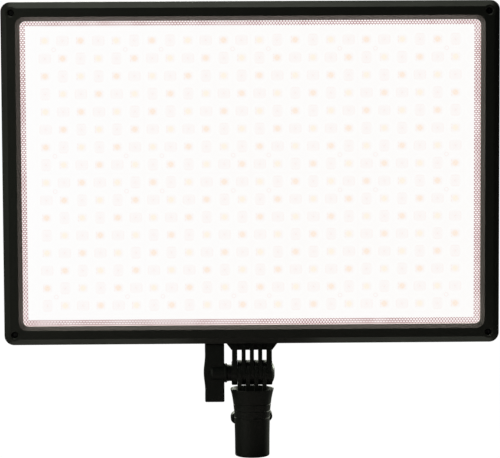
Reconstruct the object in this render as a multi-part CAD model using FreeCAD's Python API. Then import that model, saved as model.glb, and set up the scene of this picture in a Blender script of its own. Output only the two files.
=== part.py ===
import FreeCAD, Part
import math
import os

# LED panel light for a studio stand, in millimetres.
# Origin: centre of the stand socket's mouth.  +Z runs up the socket, the light leaves towards -Y,
# and +X is on the right of someone who looks into the light.

# Panel
PANEL_W = 361.8
PANEL_H = 249.7
PANEL_BOTTOM = 84.75
PANEL_Z = PANEL_BOTTOM + PANEL_H / 2
CORNER_R = 7.0
FRONT_Y = -14.0
PARTING_Y = -5.0
REAR_Y = 11.0
WALL = 2.2

# Front bezel section
CHAMFER_W = 4.4
CHAMFER_D = 3.0
FLAT_W = 6.3
LIP_W = 3.2
LIP_D = 2.2
SCREW_INSET = 7.75
SCREW_MOUTH_R = 3.0
SCREW_MOUTH_D = 0.8
SCREW_RECESS_R = 2.25
SCREW_RECESS_D = 3.5
SCREW_BOSS_R = 4.5

# Light engine, from the front to the back
DIFFUSER_W = 340.0
DIFFUSER_H = 229.0
DIFFUSER_Y = -11.3
DIFFUSER_T = 1.5
REFLECTOR_W = 327.0
REFLECTOR_H = 215.0
LED_COLUMNS = 24
LED_ROWS = 16
LED_PITCH_X = 13.0
LED_PITCH_Z = 12.95
LED_LONG = 3.5
LED_SHORT = 2.8
LED_T = 0.7
BOARD_COLUMNS = 6
BOARD_ROWS = 8
BOARD_GAP = 0.2
BOARD_FRONT_Y = -0.5
BOARD_T = 1.0
PLATE_W = 336.0
PLATE_H = 226.0
PLATE_T = 1.5
PLATE_Y = BOARD_FRONT_Y + BOARD_T
PLATE_BACK_Y = PLATE_Y + PLATE_T
PLATE_SCREW_X = 160.0
PLATE_SCREW_Z = 95.0

# Rear hump and what it carries
HUMP_W = 240.0
HUMP_H = 166.0
HUMP_Z = PANEL_Z + 16.0
HUMP_Y = 18.0
FASCIA_W = 200.0
FASCIA_H = 46.0
FASCIA_Z = PANEL_Z - 38.0
FASCIA_Y = 16.8
FASCIA_T = 1.6
WINDOW_W = 44.0
WINDOW_H = 20.0
WINDOW_Z = FASCIA_Z + 9.0
KNOB_X = 46.0
KNOB_Z = FASCIA_Z - 2.0
KNOB_R = 9.0
KNOB_Y = 19.2
KNOB_H = 7.0
SHAFT_R = 3.0
SLIM_SHAFT_R = 2.4
BUTTON_X = 16.0
BUTTON_Z = FASCIA_Z - 14.0
BUTTON_R = 2.9
SWITCH_X = 80.0
ROCKER_TILT = 8.0
PIVOT_Y = 17.6
CONTROL_BOARD_Y = 9.4
CONTROL_BOARD_T = 1.6
CONTROL_BOARD_W = 120.0
CONTROL_BOARD_H = 40.0
BATTERY_X = 62.0
BATTERY_Z = PANEL_Z + 36.0
BATTERY_W = 42.0
BATTERY_H = 76.0
BATTERY_T = 4.0
LATCH_Z = BATTERY_Z + 31.0

# Tilting knuckle
TILT_Z = PANEL_BOTTOM - 23.15
HUB_R = 9.0
STAND_HUB_R = 9.4
TINE_PITCH = 6.1
HEAD_TINE = 2.85
STAND_TINE = 2.9
CHEEK_IN = 10.85
CHEEK_OUT = 14.6
KNUCKLE_X = 15.0
BOLT_R = 4.0
BOLT_HOLE_R = 4.1
WEB_Z = TILT_Z + 17.3
WEB_LOW = 15.0
WEB_HIGH = 19.5
NECK_Y = 4.5
T_BAR_IN = -20.35
T_BAR_OUT = -34.6
T_BAR_BULGE = 1.0
T_BAR_HALF = 21.6
T_BAR_RISE = 0.35

# Stand socket
BORE_R = 8.1
BORE_DEPTH = 38.0
SOCKET_R = 12.7
RIM_R = 16.2
RIM_Z = TILT_Z - 11.5
WAIST_Z = 30.0
RING_Z = (28.9, 33.9, 38.9)
CUP_FLOOR_Z = RIM_Z - 5.3
LOCK_Z = 24.7
LOCK_SCREW_R = 3.0
LOCK_WING = 31.2
LOCK_TURN = 3.8

V = FreeCAD.Vector
X_AXIS = V(1, 0, 0)
Y_AXIS = V(0, 1, 0)
Z_AXIS = V(0, 0, 1)


# ---------------------------------------------------------------- helpers


def box(x0, x1, y0, y1, z0, z1):
    return Part.makeBox(x1 - x0, y1 - y0, z1 - z0, V(x0, y0, z0))


def block(cx, cz, width, height, y0, y1):
    """A plate square to Y, centred on (cx, cz)."""
    return box(cx - width / 2, cx + width / 2, y0, y1, cz - height / 2, cz + height / 2)


def rod_x(x0, x1, y, z, radius):
    return Part.makeCylinder(radius, x1 - x0, V(x0, y, z), X_AXIS)


def rod_y(x, z, radius, y0, y1):
    return Part.makeCylinder(radius, y1 - y0, V(x, y0, z), Y_AXIS)


def outline(width, height, radius, y, cx=0.0, cz=PANEL_Z):
    """A rectangle with round corners, as a closed wire in a plane square to Y."""
    arcs = []
    for quarter in range(4):
        side_x = 1 if quarter in (0, 3) else -1
        side_z = 1 if quarter < 2 else -1
        ox = cx + side_x * (width / 2 - radius)
        oz = cz + side_z * (height / 2 - radius)
        arc = []
        for step in range(3):
            angle = math.radians(90 * quarter + 45 * step)
            arc.append(V(ox + radius * math.cos(angle), y, oz + radius * math.sin(angle)))
        arcs.append(arc)
    edges = []
    for index, arc in enumerate(arcs):
        edges.append(Part.Arc(*arc).toShape())
        edges.append(Part.makeLine(arc[2], arcs[(index + 1) % 4][0]))
    return Part.Wire(edges)


def slab(width, height, radius, y0, y1, cx=0.0, cz=PANEL_Z):
    face = Part.Face(outline(width, height, radius, y0, cx, cz))
    return face.extrude(V(0, y1 - y0, 0))


def taper(first, second):
    """A solid between two outlines with straight sides."""
    return Part.makeLoft([first, second], True, True)


def profile_x(points, x0, x1):
    """A (y, z) polygon stretched along X."""
    corners = [V(x0, y, z) for y, z in points]
    face = Part.Face(Part.makePolygon(corners + corners[:1]))
    return face.extrude(V(x1 - x0, 0, 0))


def profile_y(points, y0, y1):
    """An (x, z) polygon stretched along Y."""
    corners = [V(x, y0, z) for x, z in points]
    face = Part.Face(Part.makePolygon(corners + corners[:1]))
    return face.extrude(V(0, y1 - y0, 0))


def turned_z(points):
    """An (r, z) polygon turned about the Z axis."""
    corners = [V(r, 0, z) for r, z in points]
    face = Part.Face(Part.makePolygon(corners + corners[:1]))
    return face.revolve(V(0, 0, 0), Z_AXIS, 360)


def turned_x(points, z):
    """An (x, r) polygon turned about the X axis at height z."""
    corners = [V(x, 0, z + r) for x, r in points]
    face = Part.Face(Part.makePolygon(corners + corners[:1]))
    return face.revolve(V(0, 0, z), X_AXIS, 360)


def turned_y(points, x, z):
    """A (y, r) polygon turned about a Y axis through (x, z)."""
    corners = [V(x + r, y, z) for y, r in points]
    face = Part.Face(Part.makePolygon(corners + corners[:1]))
    return face.revolve(V(x, 0, z), Y_AXIS, 360)


def joined(shapes):
    return shapes[0].fuse(shapes[1:]).removeSplitter()


def edges_along(shape, axis, least=0.0):
    """Straight edges of a shape that run along an axis and are at least so long."""
    found = []
    for edge in shape.Edges:
        if edge.Curve.TypeId != "Part::GeomLine" or edge.Length < least:
            continue
        if abs(abs(edge.Curve.Direction.dot(axis)) - 1) < 1e-6:
            found.append(edge)
    return found


def four_corners(dx, dz, cx=0.0, cz=PANEL_Z):
    return [(cx + sx * dx, cz + sz * dz) for sx in (-1, 1) for sz in (-1, 1)]


def cross_recess(x, z, y0, depth, reach, width):
    """The cross slot of a screw head whose face is at y0 and looks towards -Y."""
    tall = block(x, z, width, 2 * reach, y0 - 0.1, y0 + depth)
    wide = block(x, z, 2 * reach, width, y0 - 0.1, y0 + depth)
    return tall.fuse(wide)


def front_screw(x, z, seat, head_r, head_t, shank_r, end):
    """A screw driven from the front: its head rests on y = seat and its shank ends at y = end."""
    head = turned_y([(seat, 0), (seat, head_r), (seat - 0.6 * head_t, head_r),
                     (seat - head_t, 0.72 * head_r), (seat - head_t, 0)], x, z)
    screw = head.fuse(rod_y(x, z, shank_r, seat, end))
    return screw.cut(cross_recess(x, z, seat - head_t, 0.6 * head_t, 0.55 * head_r, 0.2 * head_r))


def rear_screw(x, z, seat, head_r, head_t, shank_r, end):
    """A screw driven from behind."""
    screw = front_screw(x, z, seat, head_r, head_t, shank_r, 2 * seat - end)
    return screw.mirror(V(0, seat, 0), Y_AXIS)


def wire_run(points, radius):
    """A soft wire along straight stretches with round bends."""
    parts = []
    for start, end in zip(points, points[1:]):
        a, b = V(*start), V(*end)
        parts.append(Part.makeCylinder(radius, (b - a).Length, a, b - a))
    for bend in points[1:-1]:
        parts.append(Part.makeSphere(radius, V(*bend)))
    return joined(parts)


# ---------------------------------------------------------------- front


BEZEL_SCREWS = four_corners(PANEL_W / 2 - SCREW_INSET, PANEL_H / 2 - SCREW_INSET)


def front_bezel():
    chamfer_y = FRONT_Y + CHAMFER_D
    flat_in = 2 * (CHAMFER_W + FLAT_W)
    opening_w = PANEL_W - flat_in - 2 * LIP_W
    opening_h = PANEL_H - flat_in - 2 * LIP_W
    lip_y = FRONT_Y + LIP_D
    shape = taper(
        outline(PANEL_W - 2 * CHAMFER_W, PANEL_H - 2 * CHAMFER_W, CORNER_R - CHAMFER_W, FRONT_Y),
        outline(PANEL_W, PANEL_H, CORNER_R, chamfer_y),
    )
    shape = shape.fuse(slab(PANEL_W, PANEL_H, CORNER_R, chamfer_y, PARTING_Y))
    for x, z in BEZEL_SCREWS:
        shape = shape.fuse(rod_y(x, z, SCREW_BOSS_R, FRONT_Y, chamfer_y))
    # Sloping lip, the seat of the diffuser and the hollow behind it
    shape = shape.cut(taper(
        outline(PANEL_W - flat_in, PANEL_H - flat_in, 6.2, FRONT_Y),
        outline(opening_w, opening_h, 4.0, lip_y),
    ))
    shape = shape.cut(slab(opening_w, opening_h, 4.0, lip_y - 0.01, DIFFUSER_Y))
    seat_end = DIFFUSER_Y + DIFFUSER_T + 0.05
    shape = shape.cut(slab(DIFFUSER_W + 0.6, DIFFUSER_H + 0.6, 3.3, DIFFUSER_Y, seat_end))
    inner_w = PANEL_W - 2 * WALL
    inner_h = PANEL_H - 2 * WALL
    hollow = slab(inner_w, inner_h, CORNER_R - WALL, seat_end, PARTING_Y)
    for x, z in BEZEL_SCREWS:
        hollow = hollow.cut(rod_y(x, z, 4.0, seat_end, PARTING_Y))
    shape = shape.cut(hollow)
    mouth_y = FRONT_Y + SCREW_MOUTH_D
    mouth = [(FRONT_Y, 0), (FRONT_Y, SCREW_MOUTH_R), (mouth_y, SCREW_RECESS_R), (mouth_y, 0)]
    for x, z in BEZEL_SCREWS:
        shape = shape.cut(turned_y(mouth, x, z))
        shape = shape.cut(rod_y(x, z, SCREW_RECESS_R, FRONT_Y, FRONT_Y + SCREW_RECESS_D))
        shape = shape.cut(rod_y(x, z, 1.5, FRONT_Y, PARTING_Y))
    return shape


def bezel_screws():
    seat = FRONT_Y + SCREW_RECESS_D
    return [front_screw(x, z, seat, 2.0, 1.7, 1.45, 0.0) for x, z in BEZEL_SCREWS]


def prism_diffuser():
    return slab(DIFFUSER_W, DIFFUSER_H, 3.0, DIFFUSER_Y, DIFFUSER_Y + DIFFUSER_T)


def reflector_frame():
    """White tray: a flange behind the diffuser's edge and four walls that stand on the back plate."""
    front = DIFFUSER_Y + DIFFUSER_T + 0.05
    shape = slab(DIFFUSER_W, DIFFUSER_H, 3.0, front, front + 1.5)
    shape = shape.fuse(slab(REFLECTOR_W + 4, REFLECTOR_H + 4, 4.0, front + 1.5, PLATE_Y))
    return shape.cut(slab(REFLECTOR_W, REFLECTOR_H, 2.0, front, PLATE_Y))


# ---------------------------------------------------------------- light engine


def led_place(row, column):
    x = (column - (LED_COLUMNS - 1) / 2) * LED_PITCH_X
    z = PANEL_Z + ((LED_ROWS - 1) / 2 - row) * LED_PITCH_Z
    return x, z


def board_centres():
    """Eight boards, numbered along the top row and then along the bottom row."""
    centres = []
    for line in range(2):
        for place in range(4):
            x = (place - 1.5) * BOARD_COLUMNS * LED_PITCH_X
            z = PANEL_Z + (0.5 - line) * BOARD_ROWS * LED_PITCH_Z
            centres.append((x, z))
    return centres


def board_screw_places(cx, cz):
    """The screws sit between the chips, one and a half cells in from the board's corners."""
    places = []
    for column in (0.5, BOARD_COLUMNS - 1.5):
        for row in (0.5, BOARD_ROWS - 1.5):
            x = cx + (column - (BOARD_COLUMNS - 1) / 2) * LED_PITCH_X
            z = cz + ((BOARD_ROWS - 1) / 2 - row) * LED_PITCH_Z
            places.append((x, z))
    return places


def led_board(cx, cz):
    width = BOARD_COLUMNS * LED_PITCH_X - BOARD_GAP
    height = BOARD_ROWS * LED_PITCH_Z - BOARD_GAP
    shape = block(cx, cz, width, height, BOARD_FRONT_Y, PLATE_Y)
    for x, z in board_screw_places(cx, cz):
        shape = shape.cut(rod_y(x, z, 1.0, BOARD_FRONT_Y, PLATE_Y))
    return shape


def led_chip(row, column):
    """A surface-mount package with a shallow round well for the phosphor."""
    x, z = led_place(row, column)
    start = (1, 6, 5, 2)[row % 4]
    lying = ((column - start) // 4) % 2 == 0
    width = LED_LONG if lying else LED_SHORT
    height = LED_SHORT if lying else LED_LONG
    front = BOARD_FRONT_Y - LED_T
    chip = block(x, z, width, height, front, BOARD_FRONT_Y)
    return chip.cut(rod_y(x, z, 1.1, front, front + 0.2))


def led_group(wanted):
    chips = []
    for row in range(LED_ROWS):
        for column in range(LED_COLUMNS):
            if (row + column) % 4 in wanted:
                chips.append(led_chip(row, column))
    return chips


def led_board_screws():
    screws = []
    for cx, cz in board_centres():
        for x, z in board_screw_places(cx, cz):
            screws.append(front_screw(x, z, BOARD_FRONT_Y, 1.7, 0.9, 0.95, PLATE_BACK_Y - 0.1))
    return screws


PLATE_SCREWS = [(sx * PLATE_SCREW_X, PANEL_Z + sz * PLATE_SCREW_Z) for sx in (-1, 1) for sz in (-1, 0, 1)]
BRACKET_SCREWS = [(sx * 20.0, PANEL_BOTTOM + rise) for sx in (-1, 1) for rise in (18.0, 30.0)]


def back_plate():
    shape = slab(PLATE_W, PLATE_H, 4.0, PLATE_Y, PLATE_BACK_Y)
    holes = [rod_y(x, z, 1.5, PLATE_Y, PLATE_BACK_Y) for x, z in PLATE_SCREWS]
    holes += [rod_y(x, z, 2.0, PLATE_Y, PLATE_BACK_Y) for x, z in BRACKET_SCREWS]
    for cx, cz in board_centres():
        holes += [rod_y(x, z, 1.0, PLATE_Y, PLATE_BACK_Y) for x, z in board_screw_places(cx, cz)]
    holes.append(block(0, PANEL_Z - 1.8, 18, 4, PLATE_Y, PLATE_BACK_Y))
    return shape.cut(holes)


def back_plate_screws():
    return [front_screw(x, z, PLATE_Y, 2.5, 1.8, 1.45, 7.5) for x, z in PLATE_SCREWS]


# ---------------------------------------------------------------- rear cover


BOARD_BOSSES = four_corners(CONTROL_BOARD_W / 2 - 4, CONTROL_BOARD_H / 2 - 4, 0.0, FASCIA_Z)
KNOB_SIDES = (-KNOB_X, KNOB_X)
BUTTONS = (-BUTTON_X, 0.0, BUTTON_X)
BATTERY_SIDES = (-BATTERY_X, BATTERY_X)


def battery_screw_places():
    places = []
    for cx in BATTERY_SIDES:
        places += four_corners(15.0, 24.0, cx, BATTERY_Z - 3.0)
    return places


def contact_places(cx):
    return [(cx + offset, BATTERY_Z - BATTERY_H / 2 + 8.0) for offset in (-8.0, 0.0, 8.0)]


def vent_slots(side):
    """Upright slots beside the hump, which let the back plate cool."""
    slots = []
    for column in range(6):
        for row in range(4):
            x = side * (130.0 + 7.0 * column)
            z = HUMP_Z - 58.0 + 34.0 * row
            slots.append(slab(2.4, 26.0, 1.19, REAR_Y - 4, REAR_Y + 1, x, z))
    return slots


def rear_shell():
    edge_y = REAR_Y - 3.0
    shape = slab(PANEL_W, PANEL_H, CORNER_R, PARTING_Y, edge_y)
    shape = shape.fuse(taper(
        outline(PANEL_W, PANEL_H, CORNER_R, edge_y),
        outline(PANEL_W - 6, PANEL_H - 6, CORNER_R - 3, REAR_Y),
    ))
    shape = shape.fuse(slab(HUMP_W, HUMP_H, 8.0, REAR_Y - 1, HUMP_Y - 2, 0, HUMP_Z))
    shape = shape.fuse(taper(
        outline(HUMP_W, HUMP_H, 8.0, HUMP_Y - 2, 0, HUMP_Z),
        outline(HUMP_W - 4, HUMP_H - 4, 6.0, HUMP_Y, 0, HUMP_Z),
    ))
    inner_y = REAR_Y - WALL
    shape = shape.cut(slab(PANEL_W - 2 * WALL, PANEL_H - 2 * WALL, CORNER_R - WALL, PARTING_Y, inner_y))
    inner_w = HUMP_W - 2 * WALL - 1
    inner_h = HUMP_H - 2 * WALL - 1
    return shape.cut(slab(inner_w, inner_h, 5.3, inner_y - 0.5, HUMP_Y - WALL, 0, HUMP_Z))


def rear_bosses():
    inner_y = REAR_Y - WALL
    roof_y = HUMP_Y - WALL
    bosses = []
    for x, z in BEZEL_SCREWS:
        bosses.append(rod_y(x, z, 4.0, PARTING_Y, inner_y + 0.5).cut(rod_y(x, z, 1.5, PARTING_Y, 1.0)))
    for x, z in PLATE_SCREWS:
        bosses.append(rod_y(x, z, 3.0, PLATE_BACK_Y, inner_y + 0.5).cut(rod_y(x, z, 1.5, PLATE_BACK_Y, 8.0)))
    board_back = CONTROL_BOARD_Y + CONTROL_BOARD_T
    for x, z in BOARD_BOSSES:
        bosses.append(rod_y(x, z, 2.8, board_back, roof_y + 0.3).cut(rod_y(x, z, 1.25, board_back, 15.2)))
    for x, z in battery_screw_places():
        bosses.append(rod_y(x, z, 3.0, roof_y - 3.0, roof_y + 0.3))
    return bosses


def rear_openings():
    """Openings through the hump's wall for the controls, and the notch for the bracket's neck."""
    roof = HUMP_Y - WALL - 0.5
    out = HUMP_Y + 1
    cuts = [slab(FASCIA_W + 0.4, FASCIA_H + 0.4, 3.2, FASCIA_Y, out, 0, FASCIA_Z)]
    cuts.append(block(0, WINDOW_Z, WINDOW_W + 3, WINDOW_H + 4, roof, out))
    for x in KNOB_SIDES:
        cuts.append(block(x, KNOB_Z, 13, 13, roof, out))
    for x in BUTTONS:
        cuts.append(rod_y(x, BUTTON_Z, 4.2, roof, out))
    cuts.append(block(SWITCH_X, KNOB_Z, 13.2, 19.2, roof, out))
    cuts.append(rod_y(-SWITCH_X, KNOB_Z, 5.6, roof, out))
    for x, z in battery_screw_places():
        cuts.append(rod_y(x, z, 1.25, roof - 3, out))
    for cx in BATTERY_SIDES:
        for x, z in contact_places(cx):
            cuts.append(block(x, z, 1.4, 6.4, roof, out))
    cuts.append(box(-20, 20, PARTING_Y, 5.2, PANEL_BOTTOM - 1, PANEL_BOTTOM + WALL + 1))
    return cuts


def rear_cover():
    shape = rear_shell().fuse(rear_bosses())
    cuts = rear_openings() + vent_slots(-1) + vent_slots(1)
    return shape.cut(cuts)


# ---------------------------------------------------------------- controls


def control_fascia():
    front = FASCIA_Y + FASCIA_T
    shape = slab(FASCIA_W, FASCIA_H, 3.0, FASCIA_Y, front, 0, FASCIA_Z)
    cuts = [slab(WINDOW_W + 0.2, WINDOW_H + 0.2, 1.6, FASCIA_Y + 0.4, front, 0, WINDOW_Z)]
    cuts.append(block(0, WINDOW_Z, WINDOW_W - 4, WINDOW_H - 4, FASCIA_Y, front))
    for x in KNOB_SIDES:
        cuts.append(rod_y(x, KNOB_Z, 3.5, FASCIA_Y, front))
    for x in BUTTONS:
        cuts.append(rod_y(x, BUTTON_Z, BUTTON_R + 0.1, FASCIA_Y, front))
    cuts.append(block(SWITCH_X, KNOB_Z, 13.0, 19.0, FASCIA_Y, front))
    cuts.append(rod_y(-SWITCH_X, KNOB_Z, 5.55, FASCIA_Y, front))
    return shape.cut(cuts)


def display_window():
    return slab(WINDOW_W, WINDOW_H, 1.5, FASCIA_Y + 0.4, FASCIA_Y + FASCIA_T - 0.05, 0, WINDOW_Z)


def display_module():
    """Liquid-crystal module: a frame with a sunken glass and two rows of pins."""
    back = CONTROL_BOARD_Y + CONTROL_BOARD_T
    body = block(0, WINDOW_Z, WINDOW_W + 2, WINDOW_H + 3, back + 1, FASCIA_Y - 0.05)
    body = body.cut(block(0, WINDOW_Z, WINDOW_W - 3, WINDOW_H - 3, FASCIA_Y - 0.5, FASCIA_Y))
    for z in (WINDOW_Z - 9, WINDOW_Z + 9):
        body = body.fuse(block(0, z, 30, 2, back, back + 1))
    return body


def control_board():
    back = CONTROL_BOARD_Y + CONTROL_BOARD_T
    shape = slab(CONTROL_BOARD_W, CONTROL_BOARD_H, 1.5, CONTROL_BOARD_Y, back, 0, FASCIA_Z)
    holes = [rod_y(x, z, 1.25, CONTROL_BOARD_Y, back) for x, z in BOARD_BOSSES]
    return shape.cut(holes)


def control_board_screws():
    return [front_screw(x, z, CONTROL_BOARD_Y, 2.2, 1.4, 1.2, 14.8) for x, z in BOARD_BOSSES]


def board_capacitors():
    """Aluminium-can capacitors on the plate's side of the control board."""
    cans = []
    z = FASCIA_Z - 10.0
    for x in (-34.0, -24.0, 24.0, 34.0):
        foot = block(x, z, 6.6, 6.6, CONTROL_BOARD_Y - 0.6, CONTROL_BOARD_Y)
        can = rod_y(x, z, 3.15, CONTROL_BOARD_Y - 5.4, CONTROL_BOARD_Y - 0.6)
        cans.append(joined([foot, can]))
    return cans


def board_inductors():
    coils = []
    z = FASCIA_Z + 8.0
    for x in (-29.0, 29.0):
        body = slab(10.0, 10.0, 2.0, CONTROL_BOARD_Y - 4.0, CONTROL_BOARD_Y, x, z)
        coils.append(body.cut(rod_y(x, z, 2.4, CONTROL_BOARD_Y - 4.0, CONTROL_BOARD_Y - 3.6)))
    return coils


def encoder(x):
    """A rotary encoder: a square can and a threaded bushing with a blind bore."""
    back = CONTROL_BOARD_Y + CONTROL_BOARD_T
    can = block(x, KNOB_Z, 12.0, 12.0, back, 16.0)
    bushing = rod_y(x, KNOB_Z, 3.45, 16.0, KNOB_Y - 0.3)
    return can.fuse(bushing).cut(rod_y(x, KNOB_Z, SLIM_SHAFT_R + 0.05, 12.4, KNOB_Y))


def encoder_shaft(x):
    """The shaft is slim in the bushing and full size, with a flat, inside the knob."""
    slim = rod_y(x, KNOB_Z, SLIM_SHAFT_R, 12.6, KNOB_Y - 0.2)
    thick = rod_y(x, KNOB_Z, SHAFT_R, KNOB_Y - 0.2, KNOB_Y + 5.0)
    flat = box(x - 4, x + 4, KNOB_Y + 0.2, KNOB_Y + 6, KNOB_Z + 2.2, KNOB_Z + 4)
    return slim.fuse(thick).cut(flat)


def control_knob(x):
    top = KNOB_Y + KNOB_H
    shape = turned_y([(KNOB_Y, 0), (KNOB_Y, KNOB_R - 0.4), (KNOB_Y + 0.4, KNOB_R), (top - 1.2, KNOB_R - 0.3),
                      (top - 0.3, KNOB_R - 1.2), (top, KNOB_R - 2.2), (top - 0.3, KNOB_R - 3.0),
                      (top - 0.3, 0)], x, KNOB_Z)
    cuts = []
    for index in range(24):
        angle = math.radians(15 * index)
        cx = x + (KNOB_R + 0.25) * math.cos(angle)
        cz = KNOB_Z + (KNOB_R + 0.25) * math.sin(angle)
        cuts.append(rod_y(cx, cz, 0.6, KNOB_Y + 1.2, top + 1))
    socket = rod_y(x, KNOB_Z, SHAFT_R + 0.02, KNOB_Y, KNOB_Y + 5.1)
    key = box(x - 4, x + 4, KNOB_Y + 0.25, KNOB_Y + 6, KNOB_Z + 2.25, KNOB_Z + 4)
    cuts.append(socket.cut(key))
    cuts.append(block(x, KNOB_Z + 4.2, 1.0, 4.6, top - 0.7, top + 1))
    return shape.cut(cuts)


def push_button(x):
    """A round cap with a collar behind the fascia and a short stem over its switch."""
    front = FASCIA_Y + FASCIA_T + 1.0
    cap = turned_y([(14.2, 0), (14.2, 1.5), (15.7, 1.5), (15.7, 3.8), (16.7, 3.8), (16.7, BUTTON_R),
                    (front - 0.4, BUTTON_R), (front, BUTTON_R - 0.4), (front - 0.25, 0)], x, BUTTON_Z)
    return cap


def tact_switches():
    back = CONTROL_BOARD_Y + CONTROL_BOARD_T
    switches = []
    for x in BUTTONS:
        can = block(x, BUTTON_Z, 6.0, 6.0, back, back + 2.0)
        switches.append(can.fuse(rod_y(x, BUTTON_Z, 1.7, back + 2.0, back + 2.55)))
    return switches


def power_switch_body():
    front = FASCIA_Y + FASCIA_T
    shape = slab(15.0, 21.0, 1.5, front, front + 1.6, SWITCH_X, KNOB_Z)
    shape = shape.fuse(block(SWITCH_X, KNOB_Z, 12.8, 18.8, 7.6, front))
    shape = shape.cut(block(SWITCH_X, KNOB_Z, 11.2, 17.0, 11.0, front + 2))
    shape = shape.cut(rod_x(SWITCH_X - 6.2, SWITCH_X + 6.2, PIVOT_Y, KNOB_Z, 1.25))
    for z in (KNOB_Z - 4, KNOB_Z + 4):
        shape = shape.fuse(block(SWITCH_X, z, 4.8, 0.8, 3.6, 7.6))
    return shape


def power_rocker():
    """A see-saw paddle with a hollow top, at rest with its lower end pressed."""
    points = [(13.0, -4.5), (18.4, -7.9), (20.6, -7.9), (19.7, -3.0), (19.5, 0.0),
              (19.7, 3.0), (20.6, 7.9), (18.4, 7.9), (13.0, 4.5)]
    paddle = profile_x([(y, KNOB_Z + z) for y, z in points], SWITCH_X - 5.4, SWITCH_X + 5.4)
    shape = paddle.fuse(rod_x(SWITCH_X - 6.0, SWITCH_X + 6.0, PIVOT_Y, KNOB_Z, 1.2))
    shape.rotate(V(SWITCH_X, PIVOT_Y, KNOB_Z), X_AXIS, -ROCKER_TILT)
    return shape


def dc_jack():
    """Barrel socket with a flange, a 5.6 mm mouth and a 2.1 mm centre pin."""
    x = -SWITCH_X
    front = FASCIA_Y + FASCIA_T
    shape = rod_y(x, KNOB_Z, 5.5, 7.5, front).fuse(rod_y(x, KNOB_Z, 6.8, front, front + 1.4))
    shape = shape.cut(rod_y(x, KNOB_Z, 2.8, front - 8.0, front + 2))
    pin = rod_y(x, KNOB_Z, 1.05, front - 8.5, front + 0.4)
    lug = block(x, KNOB_Z, 3.0, 0.6, 4.0, 7.6)
    return joined([shape, pin, lug])


# ---------------------------------------------------------------- battery plates


def battery_plate(cx):
    """Slide-in plate: a base, two edge rails with tabs, a contact block and the latch's slot."""
    face = HUMP_Y + BATTERY_T
    low = BATTERY_Z - BATTERY_H / 2
    high = BATTERY_Z + BATTERY_H / 2
    shape = slab(BATTERY_W, BATTERY_H, 2.5, HUMP_Y, face, cx, BATTERY_Z)
    for side in (-1, 1):
        rail = block(cx + side * (BATTERY_W / 2 - 0.8), BATTERY_Z, 1.6, BATTERY_H - 8, face - 0.5, face + 2.2)
        shape = shape.fuse(rail)
        for z in (low + 16, high - 26):
            tab = block(cx + side * (BATTERY_W / 2 - 1.8), z, 3.2, 10, face + 1.0, face + 2.2)
            shape = shape.fuse(tab)
    block_z = low + 8.0
    shape = shape.fuse(slab(24, 10, 1.5, face - 0.5, face + 2.4, cx, block_z))
    cuts = []
    for x, z in contact_places(cx):
        cuts.append(block(x, z, 2.4, 7.0, face - 1.0, face + 3))
        cuts.append(block(x, z, 1.4, 6.4, HUMP_Y - 1, face))
    cuts.append(block(cx, LATCH_Z - 4.5, 16.4, 18.0, HUMP_Y, HUMP_Y + 2.8))
    cuts.append(block(cx, LATCH_Z - 1.5, 12.2, 12.0, HUMP_Y, face + 1))
    for x, z in battery_screw_places():
        cuts.append(rod_y(x, z, 1.25, HUMP_Y, face))
        cuts.append(rod_y(x, z, 2.6, face - 1.6, face))
    return shape.cut(cuts)


def battery_contacts():
    blades = []
    for cx in BATTERY_SIDES:
        for x, z in contact_places(cx):
            blades.append(block(x, z, 1.0, 6.0, 14.6, HUMP_Y + BATTERY_T + 1.9))
    return blades


def battery_plate_screws():
    seat = HUMP_Y + BATTERY_T - 1.6
    return [rear_screw(x, z, seat, 2.4, 1.4, 1.2, 13.2) for x, z in battery_screw_places()]


def battery_latch(cx):
    """A thumb slide: a foot under the plate's face, a neck in the window and a ribbed pad."""
    face = HUMP_Y + BATTERY_T
    foot = block(cx, LATCH_Z, 16.0, 8.0, HUMP_Y + 0.15, HUMP_Y + 2.65)
    neck = block(cx, LATCH_Z, 12.0, 8.0, HUMP_Y + 2.65, face + 0.2)
    pad = slab(12.0, 8.0, 1.2, face + 0.2, face + 2.0, cx, LATCH_Z)
    shape = joined([foot, neck, pad])
    for index in range(4):
        z = LATCH_Z - 2.4 + 1.6 * index
        shape = shape.cut(block(cx, z, 9.6, 0.7, face + 1.4, face + 3))
    return shape


def latch_spring(cx):
    """Compression spring between the slot's end and the latch's foot."""
    start = LATCH_Z - 13.4
    length = 8.95
    turns = 7.0
    path = Part.makeHelix(length / turns, length, 1.0)
    ring = Part.Wire(Part.makeCircle(0.18, V(1.0, 0, 0), Y_AXIS))
    coil = Part.Wire(path).makePipeShell([ring], True, True)
    coil.translate(V(cx, HUMP_Y + 1.4, start + 0.18))
    return coil


def led_cable():
    wires = []
    low = FASCIA_Z + 16.0
    high = PANEL_Z - 1.8
    for x in (-6.0, -2.0, 2.0, 6.0):
        path = [(x, CONTROL_BOARD_Y, low), (x, 6.0, low), (x, 6.0, high), (x, PLATE_Y + 0.05, high)]
        wires.append(wire_run(path, 0.7))
    return wires


def battery_leads():
    leads = []
    board_back = CONTROL_BOARD_Y + CONTROL_BOARD_T
    for side in (-1, 1):
        for offset in (-8.0, 8.0):
            x = side * BATTERY_X + offset
            z = contact_places(0)[0][1]
            end_x = side * 46.0 + 0.2 * offset
            end_z = FASCIA_Z + 18.0
            path = [(x, 14.6, z), (x, 13.4, z), (end_x, 13.4, end_z), (end_x, board_back, end_z)]
            leads.append(wire_run(path, 0.6))
    return leads


# ---------------------------------------------------------------- knuckle


def tine_profile(radius, end_z, end_y):
    """Sides that run tangent to a hub disc up, or down, to a narrower end."""
    rise = end_z - TILT_Z
    reach = math.hypot(rise, end_y)
    lean = math.atan2(end_y, abs(rise)) + math.acos(radius / reach)
    y = radius * math.sin(lean)
    z = radius * math.cos(lean) * (1 if rise > 0 else -1)
    return [(-y, TILT_Z + z), (-end_y, end_z), (end_y, end_z), (y, TILT_Z + z)]


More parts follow.
